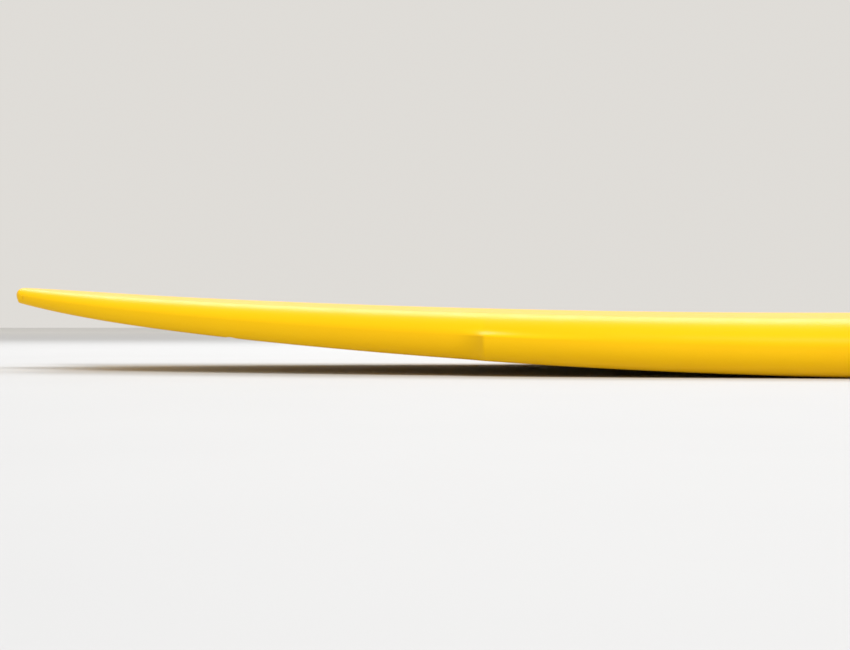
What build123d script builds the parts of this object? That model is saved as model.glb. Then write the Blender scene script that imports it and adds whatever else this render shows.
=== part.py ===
from build123d import *
import os
from math import atan, copysign, cos, degrees, pi, radians, sin, sqrt, tan

os.makedirs("parts", exist_ok=True)

# Frame: +X points to the nose, +Y to the left rail as a rider faces the nose, +Z up off the deck.
# A station is the distance in millimetres forward of the tail tips.

# ---- board outline ----
LENGTH = 1981.0            # 6 ft 6 in
WIDTH = 533.0              # 21 in at the wide point
WIDE_POINT = 1010.0        # station of the greatest width
TAIL_HALF_WIDTH = 98.0     # half width of the tail before its corners are rounded
TAIL_POWER = 2.25          # how late the tail draws in
NOSE_POWER = 2.2
NOSE_ROOT = 1.9
TIP_CORNER = 14.0          # plan radius on the outer corner of each tail tip
TIP_FLAT_TO = 86.6         # where that corner starts, out from the centre line
NOTCH_DEPTH = 95.0         # tail tips to the crotch of the swallow tail
NOTCH_HALF = 76.0          # half mouth of the notch, measured along its straight sides
NOTCH_CORNER = 12.0        # plan radius on the inner corner of each tail tip

# ---- wing in the outline ----
WING = 560.0               # station where the outline steps out
WING_STEP = 12.0
WING_FLARE = 38.0          # run of the hollow curve behind the step
WING_FADE = 360.0          # run over which the outline gives the step back
WING_BLEND = 190.0         # run over which the shoulder above the step fades out
SHOULDER = 7.0             # height of that shoulder above the rail's widest line

# ---- rocker and foil ----
ROCKER_LOW = 1000.0        # station that touches a flat floor
TAIL_LIFT = 68.0
TAIL_LIFT_POWER = 1.8
TAIL_KICK = 10.6           # the extra lift in the last few centimetres
TAIL_KICK_POWER = 10.0
NOSE_LIFT = 128.0
NOSE_LIFT_POWER = 2.6
THICK = 66.0               # 2.6 in
TAIL_THIN = 37.6
TAIL_THIN_POWER = 1.55
TIP_THIN = 9.1
TIP_THIN_POWER = 8.0
NOSE_THIN = 54.0
NOSE_THIN_POWER = 2.6
APEX = 0.45                # height of the rail's widest line, as a share of the thickness
NOSE_END = 12.0            # side-view rounding of the nose
TUCK_TAIL = 6.0            # width of the turned-in bottom edge at the tail
TUCK_MID = 24.0
CROWN = 0.28               # share of the height above the apex that is the deck's gentle crown
ROLL = 1.3                 # width of the deck's rolled edge, as a share of that height

# ---- lamination and core ----
SKIN = 1.5
INNER_DROP = 0.6           # the core's widest line sits this share of the skin below the board's
TIP_SET_BACK = 4.5         # solid resin in the tail tips, beyond the skin
STRINGER = 4.0

# ---- fin boxes ----
SLOT_LENGTH = 114.3        # 4.5 in single-slot fin base
SLOT_WIDTH = 6.6
DEEP_SLOT = 19.0           # with a 12.7 mm grub screw
DEEP_SCREW = 12.7
SHALLOW_SLOT = 12.7        # with an 8 mm grub screw
SHALLOW_SCREW = 8.0
BOX_FLOOR = 2.2
BODY_MARGIN = 4.6          # body wall around the slot
FLANGE_MARGIN = 8.4        # flange around the slot
FLANGE_THICK = 3.0
SCREW_BOSS = 12.0          # extra length of the box at its screw end
SCREW_RADIUS = 2.4
SCREW_HOLE = 2.48
SCREW_LEAN = 30.0          # degrees off the box's upright
SCREW_SUNK = 2.0           # outer end of the screw below the board's bottom, along its axis
SCREW_TO_SLOT = 1.0        # from the screw's tip to the slot's end wall, along its axis
SCREW_TRAVEL = 3.0         # how far it can be driven on into the slot
HEX_FLATS = 2.4
HEX_DEPTH = 3.0
FRONT_STATION = 337.0
FRONT_FROM_RAIL = 33.0
FRONT_TOE = 2.5
REAR_STATION = 207.0
REAR_HALF = 97.0
REAR_TOE = 1.5
CENTRE_STATION = 178.0

# ---- leash plug ----
PLUG_STATION = 196.0
PLUG_SIDE = 40.0
PLUG_RADIUS = 14.0
PLUG_DEPTH = 20.0
PLUG_WELL_RADIUS = 10.5
PLUG_WELL_DEPTH = 16.5
BAR_RADIUS = 1.6
BAR_LENGTH = 25.0
BAR_DEPTH = 6.0

MID = LENGTH / 2
FLAT_END = 0.1             # share of the thickness left as a flat at the nose
RAIL_CROWDING = 0.85       # how much closer the points of a section are at the rail than in the middle


def ease(a):
    a = min(max(a, 0.0), 1.0)
    return a * a * (3 - 2 * a)


def wing_gain(s):
    if s < WING:
        return max(0.0, 1 - (WING - s) / WING_FLARE) ** 3
    a = min((s - WING) / WING_FADE, 1.0)
    return (1 - a) ** 2 * (1 + 2 * a)


def plain_half_width(s, inset):
    if s < WIDE_POINT:
        drawn_in = (WIDTH / 2 - TAIL_HALF_WIDTH) * ((WIDE_POINT - s) / WIDE_POINT) ** TAIL_POWER
        return WIDTH / 2 - drawn_in - inset
    a = (s - WIDE_POINT) / (LENGTH - WIDE_POINT)
    return WIDTH / 2 * max(1 - a ** NOSE_POWER, 4.5e-5) ** (1 / NOSE_ROOT) - inset


def low_half_width(s, inset=0.0):
    return plain_half_width(s, inset) + WING_STEP * wing_gain(s)


def high_half_width(s, inset=0.0):
    back_to_go = 1 - min(max((s - WING) / WING_BLEND, 0.0), 1.0)
    return plain_half_width(s, inset) + WING_STEP * wing_gain(s) * (1 - back_to_go ** 3)


def bottom_height(s):
    a = max(0.0, (ROCKER_LOW - s) / ROCKER_LOW)
    b = max(0.0, (s - ROCKER_LOW) / (LENGTH - ROCKER_LOW))
    tail = TAIL_LIFT * a ** TAIL_LIFT_POWER + TAIL_KICK * a ** TAIL_KICK_POWER
    return tail + NOSE_LIFT * b ** NOSE_LIFT_POWER


def bottom_slope(s):
    return (bottom_height(s + 1) - bottom_height(s - 1)) / 2


def thickness(s):
    a = max(0.0, (WIDE_POINT - s) / WIDE_POINT)
    b = max(0.0, (s - WIDE_POINT) / (LENGTH - WIDE_POINT))
    return THICK - TAIL_THIN * a ** TAIL_THIN_POWER - TIP_THIN * a ** TIP_THIN_POWER - NOSE_THIN * b ** NOSE_THIN_POWER


def end_share(s, inset):
    """How much of the thickness is left as the nose rounds over in side view."""
    gap = max((s - LENGTH + NOSE_END) / (NOSE_END - inset), 0.0)
    return sqrt(max(1 - gap ** 2, FLAT_END ** 2))


def levels(s, inset):
    """Bottom, widest line and crest of the section at a station."""
    whole = thickness(s)
    share = end_share(s, inset)
    waist = bottom_height(s) + APEX * whole
    low = waist - (APEX * whole - inset) * share
    high = waist + ((1 - APEX) * whole - inset) * share
    return low, waist - INNER_DROP * inset * share, high


def tuck_width(s):
    width = TUCK_TAIL + (TUCK_MID - TUCK_TAIL) * ease((s - 100) / 800)
    return min(width, 0.5 * low_half_width(s))


def smooth_edge(points):
    """Spline with evenly spaced knots, so that all sections share one set of knots."""
    return Edge.make_spline(points, parameters=[i / (len(points) - 1) for i in range(len(points))])


def deck_curve(s, inset):
    """A gentle crown across the middle and a quarter turn down to the apex along each rail."""
    low, apex, high = levels(s, inset)
    outer = low_half_width(s, inset)
    upper = high_half_width(s, inset)
    height = high - apex
    roll = min(ROLL * height, 0.6 * upper)
    reach = upper - roll + roll * pi / 2
    points = []
    steps = 22
    for i in range(-steps, steps + 1):
        share = abs(i) / steps
        run = reach * share * (1 + RAIL_CROWDING * (1 - share))
        turn = max(0.0, run - upper + roll) / roll
        across = min(run, upper - roll) + roll * sin(turn)
        rise = height * (CROWN * (1 - (across / upper) ** 2) + (1 - CROWN) * cos(turn))
        across += (outer - upper) * max(0.0, 1 - (rise / SHOULDER) ** 2) ** 2
        points.append(Vector(s - MID, copysign(across, i), apex + rise))
    return smooth_edge(points)


def tuck_curve(s, inset, side):
    low, apex, high = levels(s, inset)
    outer = low_half_width(s, inset)
    width = tuck_width(s)
    points = []
    for i in range(9):
        turn = pi / 2 * i / 8
        across = outer - width + width * cos(turn)
        points.append(Vector(s - MID, side * across, apex - (apex - low) * sin(turn)))
    return smooth_edge(points)


def section(s, inset, part):
    """Closed wire across the board: the whole section, its deck half or its bottom half."""
    deck = deck_curve(s, inset)
    left = tuck_curve(s, inset, 1)
    right = tuck_curve(s, inset, -1)
    bottom = Edge.make_line(left @ 1, right @ 1)
    waist = Edge.make_line(deck @ 1, deck @ 0)
    if part == "deck":
        return Wire([deck, waist])
    if part == "bottom":
        return Wire([waist, left, bottom, right])
    return Wire([deck, left, bottom, right])


def stations(inset):
    """Close together where the shape turns fast: the wing and the nose."""
    aft = [-25, 5, 40, 85, 135, 200, 270, 345, 415, 475, 508]
    wing = [WING - WING_FLARE + WING_FLARE * i / 8 for i in range(9)]
    blend = [WING + step for step in (3, 8, 16, 29, 50, 80, 120, 165, 215)]
    fore = [850, 940, 1030, 1130, 1240, 1350, 1460, 1560, 1650, 1730, 1795, 1850]
    nose_run = LENGTH - inset - 1850
    nose = [1850 + nose_run * sin(pi / 2 * i / 10) for i in range(1, 11)]
    return aft + wing + blend + fore + nose


def hull(inset, part="whole"):
    return Solid.make_loft([section(s, inset, part) for s in stations(inset)], ruled=False)


def tail_cutter(grow, set_back=0.0):
    """What lies behind the swallow tail in plan: its corners, its tips and the V between them.

    grow moves the cut forward all round, and set_back moves the tips alone further forward.
    """
    slope = atan(NOTCH_HALF / NOTCH_DEPTH)
    crotch = NOTCH_DEPTH + grow / sin(slope)
    tip = grow + set_back
    inner_corner = NOTCH_CORNER - grow
    centre_x = tip + inner_corner
    centre_y = (crotch - centre_x) * tan(slope) + inner_corner / cos(slope)
    outer_corner = TIP_CORNER - grow
    outer_x = tip + outer_corner
    outer_y = max(TIP_FLAT_TO - set_back / 2, centre_y + 0.5)
    half = slope / 2 + pi / 4
    points = {
        "crotch": (crotch, 0),
        "touch": (centre_x - inner_corner * sin(slope), centre_y - inner_corner * cos(slope)),
        "inner_mid": (centre_x - inner_corner * sin(half), centre_y - inner_corner * cos(half)),
        "end_in": (tip, centre_y),
        "end_out": (tip, outer_y),
        "outer_mid": (outer_x - outer_corner * cos(pi / 8), outer_y + outer_corner * sin(pi / 8)),
        "leave": (outer_x - outer_corner * cos(pi / 4), outer_y + outer_corner * sin(pi / 4)),
    }
    at = {name: (x - MID, y) for name, (x, y) in points.items()}
    run_out = 40
    with BuildSketch(Plane.XY.offset(-20)) as region:
        with BuildLine():
            Line(at["crotch"], at["touch"])
            ThreePointArc(at["touch"], at["inner_mid"], at["end_in"])
            Line(at["end_in"], at["end_out"])
            ThreePointArc(at["end_out"], at["outer_mid"], at["leave"])
            far = (at["leave"][0] + run_out, at["leave"][1] + run_out)
            Polyline(at["leave"], far, (-120 - MID, far[1]), (-120 - MID, 0), at["crotch"])
        make_face()
    side = extrude(region.sketch, 220)
    return side + mirror(side, Plane.XZ)


def stadium(length, width, shift=0.0):
    return Pos(shift, 0) * SlotOverall(length, width)


def box_frame(s, y, toe):
    """Origin on the board's bottom at the slot's middle, X forward along the slot, Z into the board."""
    pitch = -degrees(atan(bottom_slope(s)))
    return Pos(s - MID, y, bottom_height(s)) * Rot(0, pitch, toe)


def box_blank(depth):
    """Everything the box displaces, standing a little proud of the bottom."""
    flange = extrude(stadium(SLOT_LENGTH + 2 * FLANGE_MARGIN + SCREW_BOSS, SLOT_WIDTH + 2 * FLANGE_MARGIN,
                             SCREW_BOSS / 2), FLANGE_THICK + 4)
    body = extrude(stadium(SLOT_LENGTH + 2 * BODY_MARGIN + SCREW_BOSS, SLOT_WIDTH + 2 * BODY_MARGIN,
                           SCREW_BOSS / 2), depth + BOX_FLOOR)
    return Pos(0, 0, -4) * flange + body


def screw_frame(length):
    """Origin on the screw's outer end, Z along its axis into the slot."""
    mouth = SLOT_LENGTH / 2 + (SCREW_SUNK + length + SCREW_TO_SLOT) * sin(radians(SCREW_LEAN))
    return Pos(mouth, 0, 0) * Rot(0, -SCREW_LEAN, 0) * Pos(0, 0, SCREW_SUNK)


def box_hollow(depth, screw):
    slot = Pos(0, 0, -5) * extrude(stadium(SLOT_LENGTH, SLOT_WIDTH), depth + 5)
    reach = 8 + screw + SCREW_TRAVEL + 0.5
    bore = screw_frame(screw) * Pos(0, 0, -8) * extrude(Circle(SCREW_HOLE), reach)
    return slot + bore


def above_bottom():
    """Everything above the flat part of the board's bottom, around the fin boxes."""
    reach = [40 + 20 * i for i in range(20)]
    with BuildSketch(Plane.XZ) as profile:
        with BuildLine():
            Spline(*[(s - MID, bottom_height(s)) for s in reach])
            Polyline((reach[-1] - MID, bottom_height(reach[-1])), (reach[-1] - MID, 200),
                     (reach[0] - MID, 200), (reach[0] - MID, bottom_height(reach[0])))
        make_face()
    return extrude(profile.sketch, WIDTH / 2, both=True)


def below_deck():
    """Everything under the deck's surface, around the leash plug."""
    wires = []
    for s in [PLUG_STATION + 10 * i for i in range(-3, 4)]:
        deck = deck_curve(s, 0.0)
        floor = [Vector(s - MID, (deck @ end).Y, -50) for end in (1, 0)]
        wires.append(Wire([deck, Edge.make_line(deck @ 1, floor[0]), Edge.make_line(*floor),
                           Edge.make_line(floor[1], deck @ 0)]))
    return Solid.make_loft(wires, ruled=False)


def grub_screw(length):
    shank = extrude(Circle(SCREW_RADIUS), length)
    shank = chamfer(shank.edges().filter_by(GeomType.CIRCLE), 0.5)
    return shank - extrude(RegularPolygon(HEX_FLATS / 2, 6, major_radius=False), HEX_DEPTH)


def store(shape, name):
    if isinstance(shape, ShapeList):
        shape = shape[0]
    shape.label = name
    export_step(shape, f"parts/{name}.step")


def single(shape):
    """The largest solid of a boolean result, as one body."""
    return max(shape.solids(), key=lambda body: body.volume)


outer_tail = tail_cutter(0.0)
inner = hull(SKIN) - tail_cutter(SKIN, TIP_SET_BACK)
deck_half = hull(0.0, "deck") - outer_tail
bottom_half = hull(0.0, "bottom") - outer_tail
print("hull ready")

# Fin boxes: one in the middle, two pairs outboard of it.
front_half = low_half_width(FRONT_STATION) - FRONT_FROM_RAIL
boxes = {
    "centre": (box_frame(CENTRE_STATION, 0, 0), DEEP_SLOT, DEEP_SCREW),
    "rear_left": (box_frame(REAR_STATION, REAR_HALF, -REAR_TOE), SHALLOW_SLOT, SHALLOW_SCREW),
    "rear_right": (box_frame(REAR_STATION, -REAR_HALF, REAR_TOE), SHALLOW_SLOT, SHALLOW_SCREW),
    "front_left": (box_frame(FRONT_STATION, front_half, -FRONT_TOE), DEEP_SLOT, DEEP_SCREW),
    "front_right": (box_frame(FRONT_STATION, -front_half, FRONT_TOE), DEEP_SLOT, DEEP_SCREW),
}
blanks = {name: frame * box_blank(depth) for name, (frame, depth, screw) in boxes.items()}

# Leash plug, square to the deck where it sits.
plug_low, plug_waist, plug_crest = levels(PLUG_STATION, 0.0)
plug_dome = 1 - CROWN * (PLUG_SIDE / high_half_width(PLUG_STATION)) ** 2
plug_rise = levels(PLUG_STATION + 5, 0.0)[2] - levels(PLUG_STATION - 5, 0.0)[2]
plug_pitch = -degrees(atan(plug_rise / 10))
plug_top = plug_waist + (plug_crest - plug_waist) * plug_dome
plug_frame = Pos(PLUG_STATION - MID, PLUG_SIDE, plug_top) * Rot(0, plug_pitch, 0)
plug_blank = plug_frame * Pos(0, 0, -PLUG_DEPTH) * extrude(Circle(PLUG_RADIUS), PLUG_DEPTH + 5)
well = plug_frame * Pos(0, 0, -PLUG_WELL_DEPTH) * extrude(Circle(PLUG_WELL_RADIUS), PLUG_WELL_DEPTH + 8)
bar_frame = plug_frame * Pos(0, BAR_LENGTH / 2, -BAR_DEPTH) * Rot(90, 0, 0)
bar = bar_frame * extrude(Circle(BAR_RADIUS), BAR_LENGTH)

# Glass laminates.
store(single(deck_half.cut(inner, plug_blank)), "deck_laminate")
store(single(bottom_half.cut(inner, *blanks.values())), "bottom_laminate")
print("laminates ready")

# Foam halves and the stringer glued between them.
core = inner.cut(plug_blank, *blanks.values())
slab = Box(2 * LENGTH, STRINGER, 600)
halves = sorted(core.cut(slab).solids(), key=lambda body: body.volume)[-2:]
store(max(halves, key=lambda body: body.center().Y), "foam_core_left")
store(min(halves, key=lambda body: body.center().Y), "foam_core_right")
store(single(core & slab), "stringer")
print("core ready")

# Fin boxes and their screws.
above = above_bottom()
for name, (frame, depth, screw) in boxes.items():
    store(single((blanks[name] & above) - frame * box_hollow(depth, screw)), f"fin_box_{name}")
    store(frame * screw_frame(screw) * grub_screw(screw), f"fin_screw_{name}")

# Leash plug.
store(single((plug_blank & below_deck()) - well - bar), "leash_plug_cup")
store(bar, "leash_plug_bar")
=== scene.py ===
from math import acos, atan, cos, degrees, hypot, pi, radians, sin, sqrt

import bpy
import numpy as np
from mathutils import Euler, Matrix, Vector


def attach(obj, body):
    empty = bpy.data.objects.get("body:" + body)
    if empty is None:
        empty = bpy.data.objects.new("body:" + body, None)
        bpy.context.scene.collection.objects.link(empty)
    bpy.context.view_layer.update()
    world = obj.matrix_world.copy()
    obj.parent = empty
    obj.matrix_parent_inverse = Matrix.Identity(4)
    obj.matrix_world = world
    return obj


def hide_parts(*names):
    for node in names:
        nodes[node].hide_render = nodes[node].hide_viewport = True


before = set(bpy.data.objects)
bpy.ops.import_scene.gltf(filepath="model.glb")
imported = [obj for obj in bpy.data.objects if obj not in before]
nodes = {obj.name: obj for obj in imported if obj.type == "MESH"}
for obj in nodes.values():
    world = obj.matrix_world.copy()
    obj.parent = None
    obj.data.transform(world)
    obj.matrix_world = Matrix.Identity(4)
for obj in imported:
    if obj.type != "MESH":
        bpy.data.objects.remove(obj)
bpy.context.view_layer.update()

# Lengths below are in millimetres, as on the drawing, and are scaled to metres when a mesh is made.
# A station is the distance forward of the tail tips.
MM = 0.001

# Outline, rocker and foil, the same as the CAD part's.
LENGTH = 1981.0
MID = LENGTH / 2
WIDTH = 533.0
WIDE_POINT = 1010.0
TAIL_HALF_WIDTH = 98.0
TAIL_POWER = 2.25
NOSE_POWER = 2.2
NOSE_ROOT = 1.9
WING = 560.0
WING_STEP = 12.0
WING_FLARE = 38.0
WING_FADE = 360.0
WING_BLEND = 190.0
SHOULDER = 7.0
ROCKER_LOW = 1000.0
TAIL_LIFT = 68.0
TAIL_LIFT_POWER = 1.8
TAIL_KICK = 10.6
TAIL_KICK_POWER = 10.0
NOSE_LIFT = 128.0
NOSE_LIFT_POWER = 2.6
THICK = 66.0
TAIL_THIN = 37.6
TAIL_THIN_POWER = 1.55
TIP_THIN = 9.1
TIP_THIN_POWER = 8.0
NOSE_THIN = 54.0
NOSE_THIN_POWER = 2.6
APEX = 0.45
NOSE_END = 12.0
TUCK_TAIL = 6.0
TUCK_MID = 24.0
CROWN = 0.28
ROLL = 1.3
ROLL_LIMIT = 0.6           # the rolled edge is at most this share of the half width
TUCK_LIMIT = 0.5
TUCK_START = 100.0         # where the turned-up edge of the bottom begins to widen
TUCK_RUN = 800.0
NOSE_BLUNT = 4.5e-5        # keeps the nose from ending in a point

# Swallow tail in plan. These rounded edges are finer than the CAD part's plain ones.
NOTCH_DEPTH = 95.0
NOTCH_SLOPE = 0.8          # half width of the notch per millimetre of depth
NOTCH_ROOT = 2.5           # plan radius at the crotch
INNER_TIP = 12.0           # plan radius on the notch side of each tip
OUTER_TIP = 14.0           # plan radius on the rail side
TIP_EDGE = 8.0             # how far the tip's end rounds over in side view
NOTCH_EDGE = 3.2           # the same along the sides of the notch
RAIL_EDGE = 0.02           # share of the tip's rounding left where the rail takes over
WING_CORNER = 0.18         # share of the wing's step taken up by its rounded corner
SHEET = 1.0                # thickness of the cured glass sheet

# Openings for the fittings.
FRONT_STATION = 337.0
BOX_STATIONS = {
    "centre": 178.0,
    "rear_left": 207.0,
    "rear_right": 207.0,
    "front_left": FRONT_STATION,
    "front_right": FRONT_STATION,
}
BOX_TOES = {"centre": 0.0, "rear_left": -1.5, "rear_right": 1.5, "front_left": -2.5, "front_right": 2.5}
REAR_HALF = 97.0
FRONT_FROM_RAIL = 33.0
FLANGE_LENGTH = 143.1
FLANGE_WIDTH = 23.4
FLANGE_SHIFT = 6.0
PLUG_STATION = 196.0
PLUG_SIDE = 40.0
PLUG_RADIUS = 14.0
FIT_GAP = 0.12             # hairline gap between the glass and a fitting
BOX_CUT = (-6.0, 3.0)      # reach of the cutter along the box's Z
PLUG_CUT = (-8.0, 8.0)
BOX_ROUND_STEPS = 40       # points on each round end of a box's outline
PLUG_ROUND_STEPS = 96


# ---------------------------------------------------------------- board formulas, on arrays

def ease(a):
    a = np.clip(a, 0, 1)
    return a * a * (3 - 2 * a)


def wing_gain(s):
    """Share of the wing's step in the outline: a hollow behind it, a rounded corner, then a slow fade."""
    flare = np.maximum(0, 1 - (WING - s) / WING_FLARE) ** 3
    a = np.clip((s - WING) / WING_FADE, 0, 1)
    fade = (1 - a) ** 2 * (1 + 2 * a)
    near = np.maximum(WING_CORNER - np.abs(flare - fade), 0)
    return np.minimum(flare, fade) - near ** 2 / (4 * WING_CORNER) * (flare > 0)


def plain_half_width(s):
    back = np.clip((WIDE_POINT - s) / WIDE_POINT, 0, 1)
    tail = WIDTH / 2 - (WIDTH / 2 - TAIL_HALF_WIDTH) * back ** TAIL_POWER
    a = np.clip((s - WIDE_POINT) / (LENGTH - WIDE_POINT), 0, 1)
    nose = WIDTH / 2 * np.maximum(1 - a ** NOSE_POWER, NOSE_BLUNT) ** (1 / NOSE_ROOT)
    return np.where(s < WIDE_POINT, tail, nose)


def bottom_height(s):
    a = np.maximum(0, (ROCKER_LOW - s) / ROCKER_LOW)
    b = np.maximum(0, (s - ROCKER_LOW) / (LENGTH - ROCKER_LOW))
    tail = TAIL_LIFT * a ** TAIL_LIFT_POWER + TAIL_KICK * a ** TAIL_KICK_POWER
    return tail + NOSE_LIFT * b ** NOSE_LIFT_POWER


def thickness(s):
    a = np.maximum(0, (WIDE_POINT - s) / WIDE_POINT)
    b = np.maximum(0, (s - WIDE_POINT) / (LENGTH - WIDE_POINT))
    tail = TAIL_THIN * a ** TAIL_THIN_POWER + TIP_THIN * a ** TIP_THIN_POWER
    return THICK - tail - NOSE_THIN * b ** NOSE_THIN_POWER


def nose_share(s):
    """How much of the thickness is left as the nose rounds over in side view."""
    return np.sqrt(np.maximum(1 - np.maximum((s - LENGTH + NOSE_END) / NOSE_END, 0) ** 2, 0))


def waist_height(s):
    return bottom_height(s) + APEX * thickness(s)


# ---------------------------------------------------------------- swallow tail in plan

SLANT = hypot(1, NOTCH_SLOPE)
TO_BOARD = (NOTCH_SLOPE / SLANT, 1 / SLANT)         # unit normal of the notch's side, into the board
ROOT_CENTRE = NOTCH_DEPTH - NOTCH_ROOT / TO_BOARD[0]
ROOT = ROOT_CENTRE + NOTCH_ROOT                     # station of the crotch
INNER_CENTRE = (NOTCH_DEPTH - INNER_TIP) * NOTCH_SLOPE + INNER_TIP * SLANT


def outer_tip(steps=400):
    """The circle on the rail side of a tip: its centre out from the middle, and where it meets the rail."""
    turns = np.linspace(0, pi / 2, steps)
    stations = OUTER_TIP * (1 - np.cos(turns))
    gaps = plain_half_width(stations) - OUTER_TIP * np.sin(turns)
    best = int(np.argmin(gaps))
    return gaps[best], stations[best]


OUTER_CENTRE, OUTER_END = outer_tip()
OUTER_TURN = acos(1 - OUTER_END / OUTER_TIP)        # how far round its circle the rail takes over


def notch_half_width(s):
    """Where the board starts, out from the middle, at a station across the notch."""
    sides = (NOTCH_DEPTH - s) * NOTCH_SLOPE
    root = np.sqrt(np.maximum(NOTCH_ROOT ** 2 - (s - ROOT_CENTRE) ** 2, 0))
    tip = INNER_CENTRE - np.sqrt(np.maximum(INNER_TIP ** 2 - (INNER_TIP - s) ** 2, 0))
    y = np.where(s > ROOT_CENTRE + NOTCH_ROOT * TO_BOARD[0], root, sides)
    return np.where(s < INNER_TIP * (1 - TO_BOARD[0]), tip, y)


def tail_half_width(s):
    """Half width in plan, with the tips' outer corners rounded."""
    corner = OUTER_CENTRE + np.sqrt(np.maximum(OUTER_TIP ** 2 - (OUTER_TIP - s) ** 2, 0))
    return np.where(s < OUTER_END, corner, rail_half_widths(s)[0])


def rail_half_widths(s):
    """Half widths at the rail's widest line and of the deck above the wing's shoulder."""
    plain = plain_half_width(s)
    gain = wing_gain(s)
    low = plain + WING_STEP * gain
    high = plain + WING_STEP * gain * (1 - (1 - np.clip((s - WING) / WING_BLEND, 0, 1)) ** 3)
    return low, high


def edge_share(s, y):
    """How much of the thickness is left, at a point on the board in plan, as the tail's edges round over.

    The tips' ends are full and round and the notch's sides firmer. Towards the rail the rounding dies out.
    """
    side = (NOTCH_SLOPE * (s - NOTCH_DEPTH) + y) / SLANT
    ahead = (y * TO_BOARD[0] < (s - ROOT_CENTRE) * TO_BOARD[1]) & (s > ROOT_CENTRE)
    notch = np.where(ahead, np.hypot(s - ROOT_CENTRE, y) - NOTCH_ROOT, side)
    across = (INNER_CENTRE - y) / TO_BOARD[1]
    inner = (across > 0) & (INNER_TIP - s - TO_BOARD[0] * across > 0)
    distance = np.where(inner, INNER_TIP - np.hypot(s - INNER_TIP, y - INNER_CENTRE), np.minimum(s, notch))
    outer = (y > OUTER_CENTRE) & (s < OUTER_TIP)
    distance = np.where(outer, OUTER_TIP - np.hypot(s - OUTER_TIP, y - OUTER_CENTRE), distance)
    firm = ease(s / OUTER_TIP)
    reach = TIP_EDGE + (NOTCH_EDGE - TIP_EDGE) * firm
    bearing = np.arctan2(y - OUTER_CENTRE, np.maximum(OUTER_TIP - s, 1e-6))
    fading = np.maximum(1 - ease(bearing / OUTER_TURN), RAIL_EDGE)
    reach = np.where(outer, reach * fading, reach)
    power = 2 + firm       # a quarter circle at the tips' ends, squarer along the notch
    near = np.clip(distance / reach, 0, 1)
    return (1 - (1 - near) ** power) ** (1 / power)


# ---------------------------------------------------------------- glass sheets

COARSE = 8.0               # longest gap between two rows of points
COLUMNS = 40               # faces from the middle to the rail, on the deck and on the bottom
TUCK_COLUMNS = 18
END_CROWDING = 0.38        # rows crowd together towards the tips, the crotch and the nose
FINEST = 0.02
WING_GAP = 0.7             # gap between rows along the wing's corner
WING_GAP_GROWTH = 0.08     # how fast that gap widens away from the corner
WING_ROWS = (2.0, 6.0)     # how far behind the hollow and ahead of the corner the fine rows go
NOTCH_CROWDING = 1.3       # extra crowding of the columns towards the edge of the notch
NOTCH_CROWDING_RUN = 90.0
TUCK_CROWDING = 1.5
WELD = 1e-4                # points closer than this are one
HARD_ANGLE = 40            # degrees between faces from which an edge is drawn sharp


def row_gap(s):
    near_end = min(s, abs(s - ROOT), LENGTH - s)
    off_wing = max(WING - WING_FLARE - WING_ROWS[0] - s, s - WING - WING_ROWS[1], 0)
    by_end = max(FINEST, END_CROWDING * sqrt(max(near_end, 0)))
    return min(COARSE, by_end, WING_GAP + WING_GAP_GROWTH * off_wing)


def row_stations():
    """Stations of the rows, with one exactly on the crotch."""
    rows = []
    for start, end in ((0.0, ROOT), (ROOT, LENGTH)):
        run = [start]
        while run[-1] < end:
            run.append(run[-1] + row_gap(run[-1] + FINEST / 2))
        run = np.array(run[:-1] if end - run[-2] < run[-1] - end else run)
        rows.append(start + (run - start) * (end - start) / (run[-1] - start))
    return np.concatenate([rows[0], rows[1][1:]])


def crowding(s):
    """Columns crowd towards the edge of the notch, and are even further forward."""
    return 1 + NOTCH_CROWDING * (1 - ease((s - ROOT) / NOTCH_CROWDING_RUN))


def deck_points(s):
    """Outer surface of one half of the deck, rows by columns, from the notch or the middle to the rail."""
    low, high = rail_half_widths(s)
    inner, edge = notch_half_width(s), tail_half_width(s)
    height = (1 - APEX) * thickness(s) * nose_share(s)
    roll = np.minimum(ROLL * (1 - APEX) * thickness(s), ROLL_LIMIT * high)
    level = high - roll

    def run_to(y):
        return np.where(y < level, y, level + roll * np.arcsin(np.clip((y - level) / roll, 0, 1)))

    start = run_to(inner)
    end = np.where(s < OUTER_END, run_to(edge), level + roll * pi / 2)
    steps = np.linspace(0, 1, COLUMNS + 1)[None, :] ** crowding(s)[:, None]
    run = start[:, None] + (end - start)[:, None] * np.sin(pi / 2 * steps)
    low, high, roll, height = (part[:, None] for part in (low, high, roll, height))
    turn = np.maximum(0, run - high + roll) / roll
    y = np.minimum(run, high - roll) + roll * np.sin(turn)
    rise = height * (CROWN * (1 - (y / high) ** 2) + (1 - CROWN) * np.cos(turn))
    y += (low - high) * np.maximum(0, 1 - (rise / SHOULDER) ** 2) ** 2
    y[:, 0], y[:, -1] = inner, edge
    grid = np.broadcast_to(s[:, None], y.shape)
    z = waist_height(s)[:, None] + rise * edge_share(grid, y)
    z[:, -1] = waist_height(s)
    return np.stack([grid - MID, y, z], axis=2)


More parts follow.
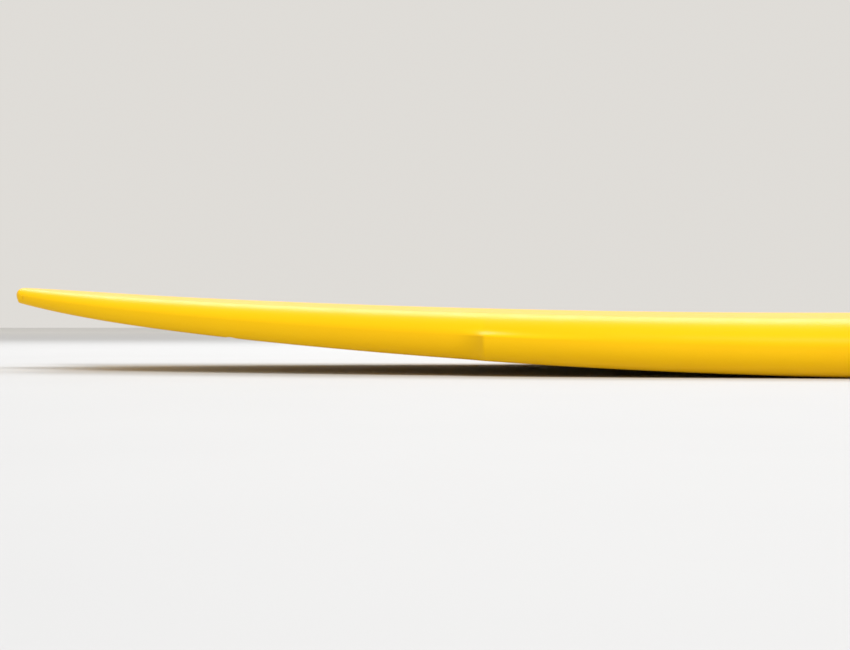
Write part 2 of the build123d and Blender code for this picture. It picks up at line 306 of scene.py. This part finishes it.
def bottom_points(s, deck):
    """Outer surface of one half of the bottom: flat across, with a turned-up edge at the rail."""
    low = rail_half_widths(s)[0]
    inner, edge = notch_half_width(s), tail_half_width(s)
    tuck = TUCK_TAIL + (TUCK_MID - TUCK_TAIL) * ease((s - TUCK_START) / TUCK_RUN)
    tuck = np.minimum(tuck, TUCK_LIMIT * (edge - inner))
    flat = np.linspace(0, 1, COLUMNS - TUCK_COLUMNS + 1)[None, :] ** crowding(s)[:, None]
    flat_y = inner[:, None] + (edge - tuck - inner)[:, None] * flat
    turn = pi / 2 * (1 - np.linspace(0, 1, TUCK_COLUMNS + 1)[1:]) ** TUCK_CROWDING
    tuck_y = (edge - tuck)[:, None] + tuck[:, None] * np.cos(turn)
    y = np.concatenate([flat_y, tuck_y], axis=1)
    past_flat = np.clip((y - (low - tuck)[:, None]) / tuck[:, None], 0, 1)
    deep = (APEX * thickness(s) * nose_share(s))[:, None] * np.sqrt(1 - past_flat ** 2)
    grid = np.broadcast_to(s[:, None], y.shape)
    z = waist_height(s)[:, None] - deep * edge_share(grid, y)
    points = np.stack([grid - MID, y, z], axis=2)
    points[:, -1] = deck[:, -1]
    points[0] = deck[0]
    points[-1] = deck[-1]
    return points


def grid_faces(rows, columns, first, flip):
    """Quads between the points of a grid whose numbers start at first."""
    corner = first + np.arange(rows - 1)[:, None] * columns + np.arange(columns - 1)[None, :]
    quads = np.stack([corner, corner + columns, corner + columns + 1, corner + 1], axis=-1).reshape(-1, 4)
    return quads[:, ::-1] if flip else quads


def hull_surface():
    """The board's whole outer surface: points, quads, and how many of the quads are deck.

    Points that coincide, on the middle line, the rail and the ends, are made one.
    """
    s = row_stations()
    deck = deck_points(s)
    bottom = bottom_points(s, deck)
    mirror = np.array([1, -1, 1])
    grids = [deck, deck * mirror, bottom, bottom * mirror]
    points = np.concatenate([grid.reshape(-1, 3) for grid in grids])
    count = len(s) * (COLUMNS + 1)
    flips = enumerate((False, True, True, False))
    quads = np.concatenate([grid_faces(len(s), COLUMNS + 1, count * i, flip) for i, flip in flips])
    keys = np.round(points / WELD).astype(np.int64)
    first, number = np.unique(keys, axis=0, return_index=True, return_inverse=True)[1:]
    return points[first], number.reshape(-1)[quads], len(quads) // 2


def point_normals(points, quads):
    """Outward unit normals, each face counting by its area."""
    a, b, c, d = (points[quads[:, i]] for i in range(4))
    facing = np.cross(c - a, d - b)
    normals = np.zeros_like(points)
    for i in range(4):
        np.add.at(normals, quads[:, i], facing)
    return normals / np.linalg.norm(normals, axis=1, keepdims=True)


def clean_faces(quads):
    """Drops repeated corners, and faces that have shrunk to a line."""
    faces = []
    for quad in quads.tolist():
        kept = [corner for i, corner in enumerate(quad) if corner != quad[i - 1]]
        if len(set(kept)) > 2:
            faces.append(kept)
    return faces


def open_edges(faces):
    """Directed edges that only one face has."""
    edges = {}
    for face in faces:
        for i, corner in enumerate(face):
            edges[(face[i - 1], corner)] = True
    return [edge for edge in edges if edge[::-1] not in edges]


def mesh_object(name, points, faces):
    """A mesh from points in millimetres, using only the points that its faces use."""
    used = np.unique(np.concatenate([np.array(face) for face in faces]))
    number = np.zeros(len(points), int)
    number[used] = np.arange(len(used))
    mesh = bpy.data.meshes.new(name)
    mesh.from_pydata((points[used] * MM).tolist(), [], [number[face].tolist() for face in faces])
    piece = bpy.data.objects.new(name, mesh)
    bpy.context.scene.collection.objects.link(piece)
    return piece


def glass_sheet(name, points, inner, quads):
    """Closed sheet between the outer points and the inner ones, joined by a rim along its open edge."""
    outer_faces = clean_faces(quads)
    shift = len(points)
    inner_faces = [[corner + shift for corner in reversed(face)] for face in outer_faces]
    rim = [[b, a, a + shift, b + shift] for a, b in open_edges(outer_faces)]
    return mesh_object(name, np.concatenate([points, inner]), outer_faces + inner_faces + rim)


def stadium(length, width, shift, steps):
    """Outline with round ends, counter-clockwise, whose middle is shifted along X."""
    straight = (length - width) / 2
    turns = np.linspace(-pi / 2, pi / 2, steps)
    fore = [(shift + straight + width / 2 * cos(t), width / 2 * sin(t)) for t in turns]
    aft = [(shift - straight - width / 2 * cos(t), -width / 2 * sin(t)) for t in turns]
    return fore + aft


def prism(name, outline, heights, place):
    """Cutter: an outline between two heights, put in place by a matrix in millimetres."""
    count = len(outline)
    points = [place @ Vector((x, y, z)) for z in heights for x, y in outline]
    sides = [[i, (i + 1) % count, (i + 1) % count + count, i + count] for i in range(count)]
    caps = [list(reversed(range(count))), list(range(count, 2 * count))]
    return mesh_object(name, np.array([tuple(p) for p in points]), sides + caps)


def cut(piece, cutters):
    """Takes the cutters out of the piece and removes them."""
    for cutter in cutters:
        step = piece.modifiers.new("cut", "BOOLEAN")
        step.operation = "DIFFERENCE"
        step.solver = "MANIFOLD"
        step.object = cutter
    bpy.context.view_layer.update()
    made = bpy.data.meshes.new_from_object(piece.evaluated_get(bpy.context.evaluated_depsgraph_get()))
    piece.modifiers.clear()
    plain = piece.data
    piece.data = made
    made.name = piece.name
    bpy.data.meshes.remove(plain)
    for cutter in cutters:
        bpy.data.objects.remove(cutter)


def shade(piece):
    piece.data.shade_smooth()
    piece.data.set_sharp_from_angle(angle=radians(HARD_ANGLE))


def place_at(x, y, z, pitch, toe=0.0):
    turn = Matrix.Rotation(radians(pitch), 4, "Y") @ Matrix.Rotation(radians(toe), 4, "Z")
    return Matrix.Translation((x, y, z)) @ turn


def box_place(name):
    """Where a fin box sits: origin on the bottom, X forward along the slot, Z up into the board."""
    s = BOX_STATIONS[name]
    row, side = name.split("_")[0], name.split("_")[-1]
    rail = float(rail_half_widths(np.array(FRONT_STATION))[0])
    off = {"centre": 0.0, "rear": REAR_HALF, "front": rail - FRONT_FROM_RAIL}[row]
    turned = {"left": 1, "right": -1}.get(side, 0)
    slope = float(bottom_height(s + 1) - bottom_height(s - 1)) / 2
    return place_at(s - MID, turned * off, float(bottom_height(s)), -degrees(atan(slope)), BOX_TOES[name])


def plug_place():
    """Where the leash plug sits: origin on the deck, Z out of it."""
    def crest(s):
        return float(waist_height(s) + (1 - APEX) * thickness(s))

    s = PLUG_STATION
    half = float(rail_half_widths(np.array(s))[1])
    dome = 1 - CROWN * (PLUG_SIDE / half) ** 2
    waist = float(waist_height(s))
    top = waist + (crest(s) - waist) * dome
    return place_at(s - MID, PLUG_SIDE, top, -degrees(atan((crest(s + 5) - crest(s - 5)) / 10)))


def glass():
    """The two glass sheets, with openings for the fittings. They stand in for the CAD laminates."""
    points, quads, deck_count = hull_surface()
    inner = points - SHEET * point_normals(points, quads)
    deck = glass_sheet("deck_glass_sheet", points, inner, quads[:deck_count])
    bottom = glass_sheet("bottom_glass_sheet", points, inner, quads[deck_count:])
    turns = np.linspace(0, 2 * pi, PLUG_ROUND_STEPS, endpoint=False)
    ring = [((PLUG_RADIUS + FIT_GAP) * cos(t), (PLUG_RADIUS + FIT_GAP) * sin(t)) for t in turns]
    cut(deck, [prism("plug_cutter", ring, PLUG_CUT, plug_place())])
    flange = (FLANGE_LENGTH + 2 * FIT_GAP, FLANGE_WIDTH + 2 * FIT_GAP)
    outline = stadium(*flange, FLANGE_SHIFT, BOX_ROUND_STEPS)
    cut(bottom, [prism(f"{name}_cutter", outline, BOX_CUT, box_place(name)) for name in BOX_STATIONS])
    pairs = ((deck, "deck_laminate", "deck_glass"), (bottom, "bottom_laminate", "bottom_glass"))
    for piece, node, slot in pairs:
        shade(piece)
        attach(piece, "board")
        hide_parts(node)
    return deck, bottom


# ---------------------------------------------------------------- materials

class Nodes:
    """Short way to make and join the nodes of one material."""

    def __init__(self, name):
        self.material = bpy.data.materials.new(name)
        self.material.use_nodes = True
        self.tree = self.material.node_tree
        self.shader = self.tree.nodes["Principled BSDF"]

    def add(self, kind, inputs=None, **settings):
        node = self.tree.nodes.new(kind)
        for key, value in settings.items():
            setattr(node, key, value)
        for key, value in (inputs or {}).items():
            self.give(node.inputs[key], value)
        return node

    def give(self, socket, value):
        if isinstance(value, bpy.types.NodeSocket):
            self.tree.links.new(value, socket)
        else:
            socket.default_value = value

    def set(self, **values):
        for key, value in values.items():
            self.give(self.shader.inputs[key.replace("_", " ")], value)

    def place(self):
        return self.add("ShaderNodeTexCoord").outputs["Object"]

    def noise(self, scale, detail=2.0, roughness=0.5, stretch=(1, 1, 1)):
        spot = self.add("ShaderNodeMapping", {"Vector": self.place(), "Scale": stretch}).outputs["Vector"]
        inputs = {"Vector": spot, "Scale": scale, "Detail": detail, "Roughness": roughness}
        return self.add("ShaderNodeTexNoise", inputs).outputs["Fac"]

    def spread(self, value, low, high, start=0.3, end=0.7):
        """Maps value from start..end to low..high."""
        inputs = {"Value": value, "From Min": start, "From Max": end, "To Min": low, "To Max": high}
        return self.add("ShaderNodeMapRange", inputs).outputs["Result"]

    def mix(self, share, a, b):
        node = self.add("ShaderNodeMix", data_type="RGBA")
        self.give(node.inputs["Factor"], share)
        self.give(node.inputs["A"], a)
        self.give(node.inputs["B"], b)
        return node.outputs["Result"]

    def bump(self, height, distance, strength=0.5):
        inputs = {"Height": height, "Distance": distance, "Strength": strength}
        return self.add("ShaderNodeBump", inputs).outputs["Normal"]


def linear(red, green, blue):
    """Colour from its usual 0 to 255 screen values."""
    def one(c):
        c /= 255
        return c / 12.92 if c < 0.04045 else ((c + 0.055) / 1.055) ** 2.4

    return (one(red), one(green), one(blue), 1.0)


# Colours are screen values. Noise scales are per metre and reliefs are in metres.
DEEP_YELLOW = (248, 192, 0)
BRIGHT_YELLOW = (250, 198, 0)
STRINGER_SHADE = (232, 176, 4)
STRINGER_SHOWS = 0.3                     # how strongly the stringer darkens the glass over it
STRINGER_EDGE = (0.0016, 0.0034)         # metres off the middle over which that fades out
SATIN = (0.30, 0.38)                     # roughness
GLASS_SPECULAR = 0.14
CLOUD_SCALE, SATIN_SCALE, PEEL_SCALE = 5.0, 60.0, 180.0
PEEL_RELIEF = 0.00004

WOOD_TONES = ((222, 193, 149), (196, 160, 112))
WOOD_ROUGHNESS = (0.55, 0.7)
WOOD_GRAIN = 8.0
WOOD_STRETCH = (1.0, 30.0, 30.0)
WOOD_RELIEF = 0.0001

# Two tones, range of roughness, grain, relief, and how metallic.
PLAIN_LOOKS = {
    "foam": (((243, 239, 228), (248, 245, 236)), (0.82, 0.92), 90.0, 0.0001, 0.0),
    "moulded_plastic": (((236, 236, 230), (240, 240, 235)), (0.42, 0.52), 120.0, 0.00003, 0.0),
    "steel": (((176, 177, 180), (190, 190, 192)), (0.24, 0.34), 150.0, 0.00001, 1.0),
}
# Looks of the CAD pieces that are kept as they are, by how their names start.
NODE_LOOKS = {
    "foam_core": "foam",
    "stringer": "stringer_wood",
    "fin_box": "moulded_plastic",
    "leash_plug_cup": "moulded_plastic",
    "fin_screw": "steel",
    "leash_plug_bar": "steel",
}


def tinted_glass():
    """Opaque yellow resin over glass cloth, sanded to a satin sheen. The stringer darkens it a little."""
    m = Nodes("yellow_resin")
    cloudy = m.spread(m.noise(CLOUD_SCALE, 3.0), 0, 1)
    base = m.mix(cloudy, linear(*DEEP_YELLOW), linear(*BRIGHT_YELLOW))
    split = m.add("ShaderNodeSeparateXYZ", {"Vector": m.place()})
    off_middle = m.add("ShaderNodeMath", {0: split.outputs["Y"]}, operation="ABSOLUTE").outputs["Value"]
    over_stringer = m.spread(off_middle, STRINGER_SHOWS, 0.0, *STRINGER_EDGE)
    m.set(Base_Color=m.mix(over_stringer, base, linear(*STRINGER_SHADE)))
    m.set(Roughness=m.spread(m.noise(SATIN_SCALE, 4.0, 0.6), *SATIN))
    m.set(Specular_IOR_Level=GLASS_SPECULAR)
    m.set(Normal=m.bump(m.noise(PEEL_SCALE), PEEL_RELIEF))
    return m.material


def plain_material(name):
    """Two close tones mottled by noise, with a faint relief of the same grain."""
    tones, roughness, grain, relief, metallic = PLAIN_LOOKS[name]
    m = Nodes(name)
    mottle = m.noise(grain, 3.0, 0.55)
    m.set(Base_Color=m.mix(m.spread(mottle, 0, 1), linear(*tones[0]), linear(*tones[1])))
    m.set(Roughness=m.spread(m.noise(grain / 2), *roughness))
    m.set(Metallic=metallic, Normal=m.bump(mottle, relief))
    return m.material


def wood():
    """Straight grain along the board."""
    m = Nodes("stringer_wood")
    rings = m.noise(WOOD_GRAIN, 4.0, 0.6, WOOD_STRETCH)
    m.set(Base_Color=m.mix(m.spread(rings, 0, 1), linear(*WOOD_TONES[0]), linear(*WOOD_TONES[1])))
    m.set(Roughness=m.spread(rings, *WOOD_ROUGHNESS), Normal=m.bump(rings, WOOD_RELIEF))
    return m.material


def dress(piece, material):
    piece.data.materials.clear()
    piece.data.materials.append(material)


def dress_nodes():
    looks = {name: plain_material(name) for name in PLAIN_LOOKS}
    looks["stringer_wood"] = wood()
    for name, node in nodes.items():
        for start, look in NODE_LOOKS.items():
            if name.startswith(start):
                dress(node, looks[look])


# ---------------------------------------------------------------- surroundings

FLOOR_RADIUS = 40000.0
FLOOR_SIDES = 128
# Painted light: the floor is darker near the board, where the lamps light it, and painted lighter far out,
# where only the backdrop lights it.
FLOOR_NEAR_LAMPLIT = (198, 199, 201)
FLOOR_FAR_PAINTED_LIGHT = (224, 223, 221)
FLOOR_PAINTED_LIGHT_FADE = (3.0, 10.0)                 # metres out from the board over which one goes over to the other; painted light, the floor made lighter far out where the lamps no longer reach, to meet the backdrop
FLOOR_MOTTLE = (240, 240, 240)
MOTTLE_SHARE = 0.04
FLOOR_ROUGHNESS = 0.7

BACKDROP = (240, 237, 232)
BACKDROP_GLOW = 0.85
# Place in metres, size in metres, power in watts: a large key light high on the right, and a strip behind
# the board for the deck's sheen.
LIGHTS = {
    "key": ((3.6, -4.4, 6.0), (5.0, 3.0), 500),
    "strip": ((-0.2, 2.1, 1.9), (5.0, 1.3), 55),
}
LIGHTS_AIM = (-0.2, 0, 0)

# The camera stands to the right of the tail, level, about as high as the deck.
CAMERA_PLACE = (-0.2911, -1.6558, 0.0508)
CAMERA_TURN = 8.0                        # degrees to the left of square-on
CAMERA_RISE = 0.042                      # degrees upward
LENS = 60.0
SENSOR = 36.0
CLIP = (0.01, 200)


def floor():
    turns = np.linspace(0, 2 * pi, FLOOR_SIDES, endpoint=False)
    points = np.array([(FLOOR_RADIUS * cos(t), FLOOR_RADIUS * sin(t), 0.0) for t in turns])
    piece = mesh_object("floor", points, [list(range(len(points)))])
    m = Nodes("pale_floor")
    away = m.add("ShaderNodeVectorMath", {0: m.place()}, operation="LENGTH").outputs["Value"]
    # Painted light: the floor's colour grows lighter away from the board, standing in for lamp light that
    # doesn't reach that far.
    painted_light_tone = m.mix(m.spread(away, 0, 1, *FLOOR_PAINTED_LIGHT_FADE), linear(*FLOOR_NEAR_LAMPLIT), linear(*FLOOR_FAR_PAINTED_LIGHT))
    mottle = m.spread(m.noise(3.0, 4.0), 0, MOTTLE_SHARE)
    m.set(Base_Color=m.mix(mottle, painted_light_tone, linear(*FLOOR_MOTTLE)), Roughness=FLOOR_ROUGHNESS)
    piece.data.materials.append(m.material)


def light(name, place, size, power):
    """Rectangular lamp, turned to the board, that the camera doesn't see."""
    lamp = bpy.data.lights.new(name, "AREA")
    lamp.shape = "RECTANGLE"
    lamp.size, lamp.size_y = size
    lamp.energy = power
    holder = bpy.data.objects.new(name, lamp)
    holder.location = place
    holder.rotation_euler = (Vector(LIGHTS_AIM) - Vector(place)).to_track_quat("-Z", "Y").to_euler()
    holder.visible_camera = False
    bpy.context.scene.collection.objects.link(holder)


def studio():
    """Even pale surroundings and the lights."""
    world = bpy.data.worlds.new("studio")
    bpy.context.scene.world = world
    world.use_nodes = True
    back = world.node_tree.nodes["Background"]
    back.inputs["Color"].default_value = linear(*BACKDROP)
    back.inputs["Strength"].default_value = BACKDROP_GLOW
    for name, settings in LIGHTS.items():
        light(name, *settings)
    bpy.context.scene.view_settings.view_transform = "Standard"


def camera():
    lens = bpy.data.cameras.new("camera")
    lens.lens = LENS
    lens.sensor_width = SENSOR
    lens.clip_start, lens.clip_end = CLIP
    holder = bpy.data.objects.new("camera", lens)
    holder.location = CAMERA_PLACE
    holder.rotation_euler = Euler((radians(90 + CAMERA_RISE), 0, radians(CAMERA_TURN)))
    bpy.context.scene.collection.objects.link(holder)
    bpy.context.scene.camera = holder


# ---------------------------------------------------------------- build

yellow = tinted_glass()
for sheet in glass():
    dress(sheet, yellow)
dress_nodes()
floor()
studio()
camera()
